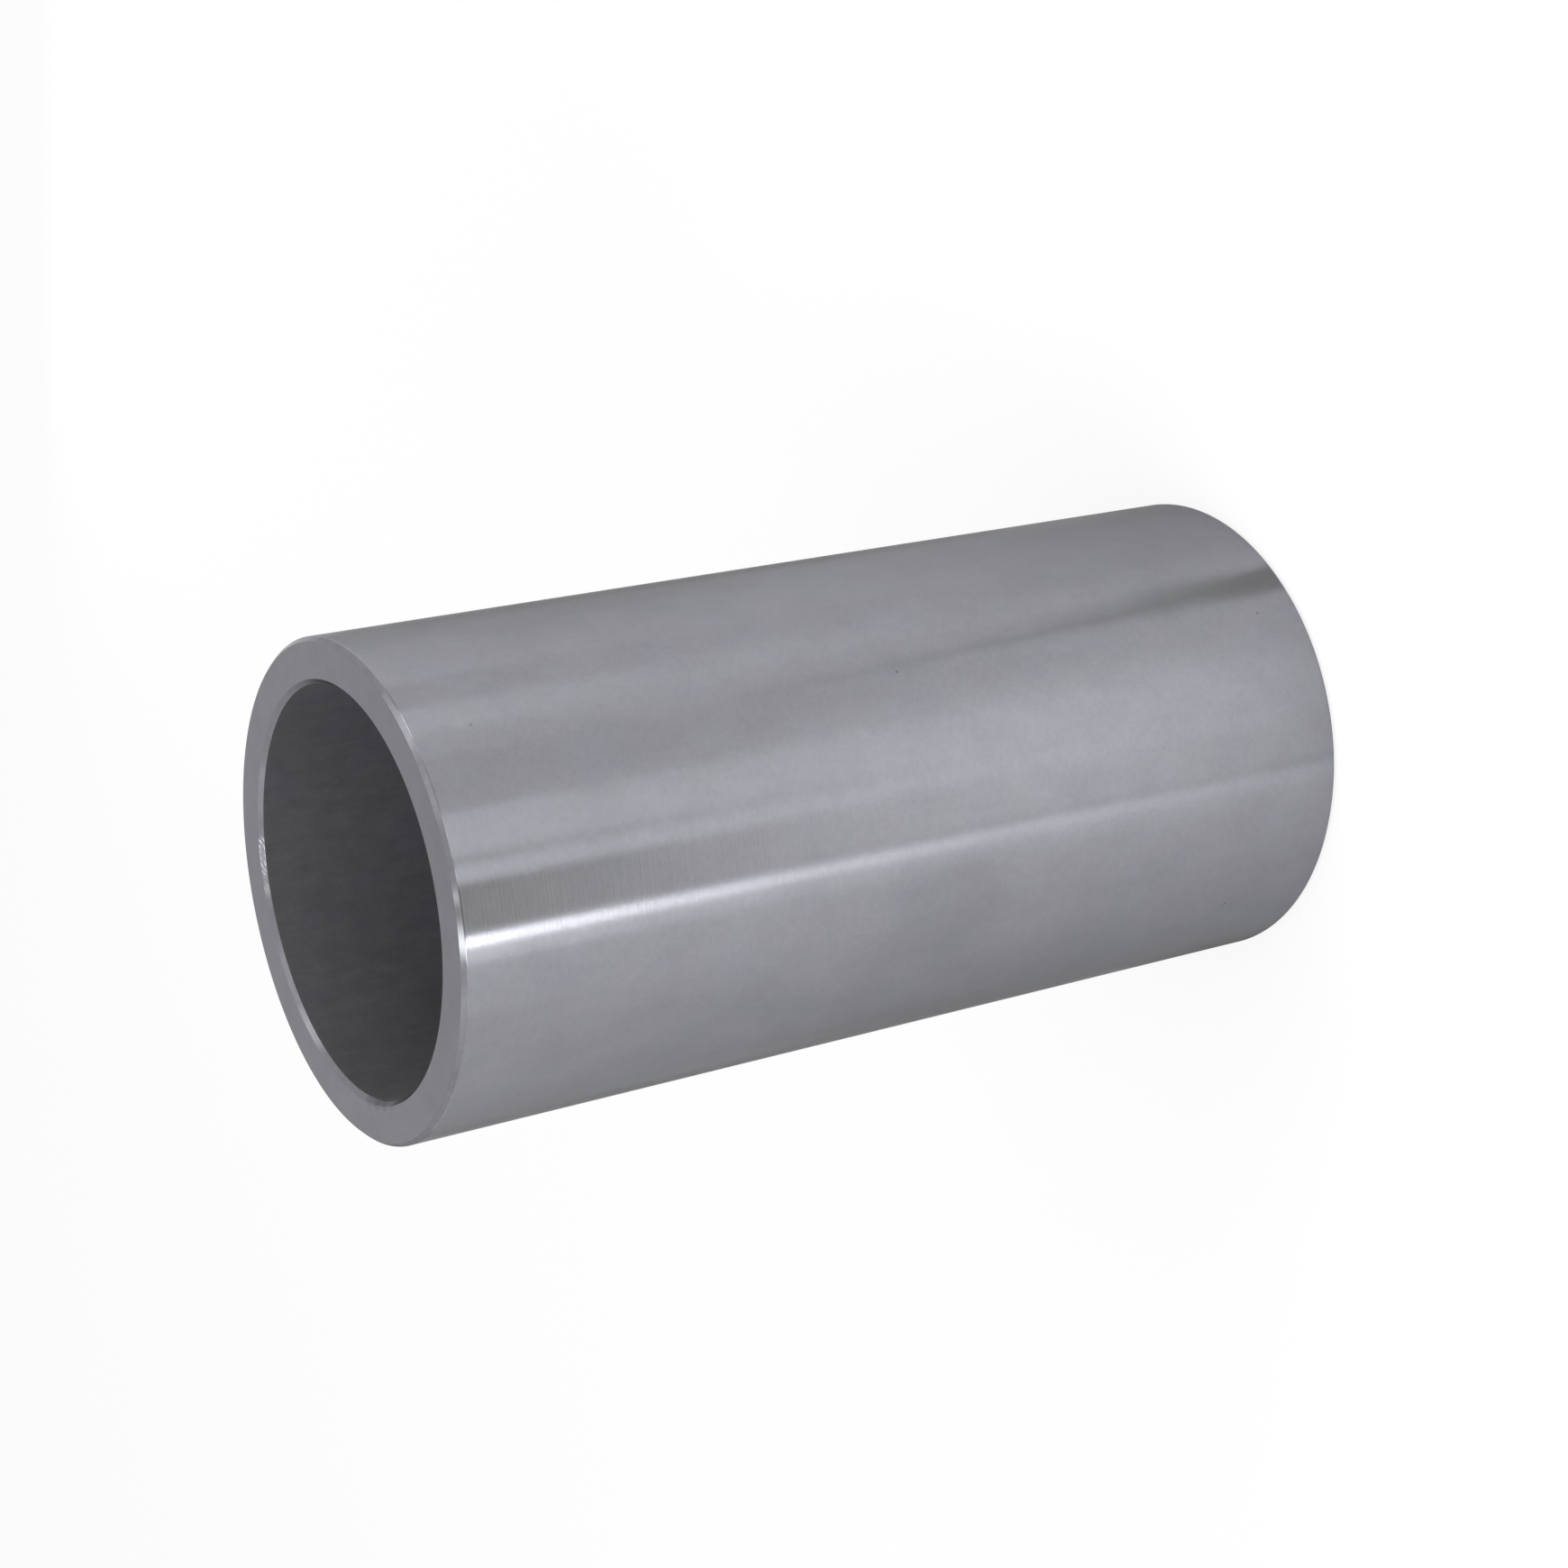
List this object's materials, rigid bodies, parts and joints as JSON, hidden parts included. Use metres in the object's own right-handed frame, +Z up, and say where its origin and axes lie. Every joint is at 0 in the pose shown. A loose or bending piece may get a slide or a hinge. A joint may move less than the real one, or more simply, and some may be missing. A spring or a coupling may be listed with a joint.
{
  "type": "spacer sleeve",
  "caption": "Plain round steel spacer sleeve: a straight tube with square faced ends and small chamfers, for keeping two parts a set distance apart on an axle.",
  "frame": {"origin": "centre of the lower end, on the plane the sleeve stands on", "axes": "+Z up along the sleeve's axis; the sleeve is round, so +X and +Y are any two directions square to it"},
  "size_m": [0.055, 0.055, 0.114],
  "materials": {
    "ground_steel": "satin, fine ground outside with circumferential grain, turned end faces, darker drawn bore"
  },
  "bodies": {
    "root": {"sleeve": "ground_steel"}
  },
  "joints": []
}
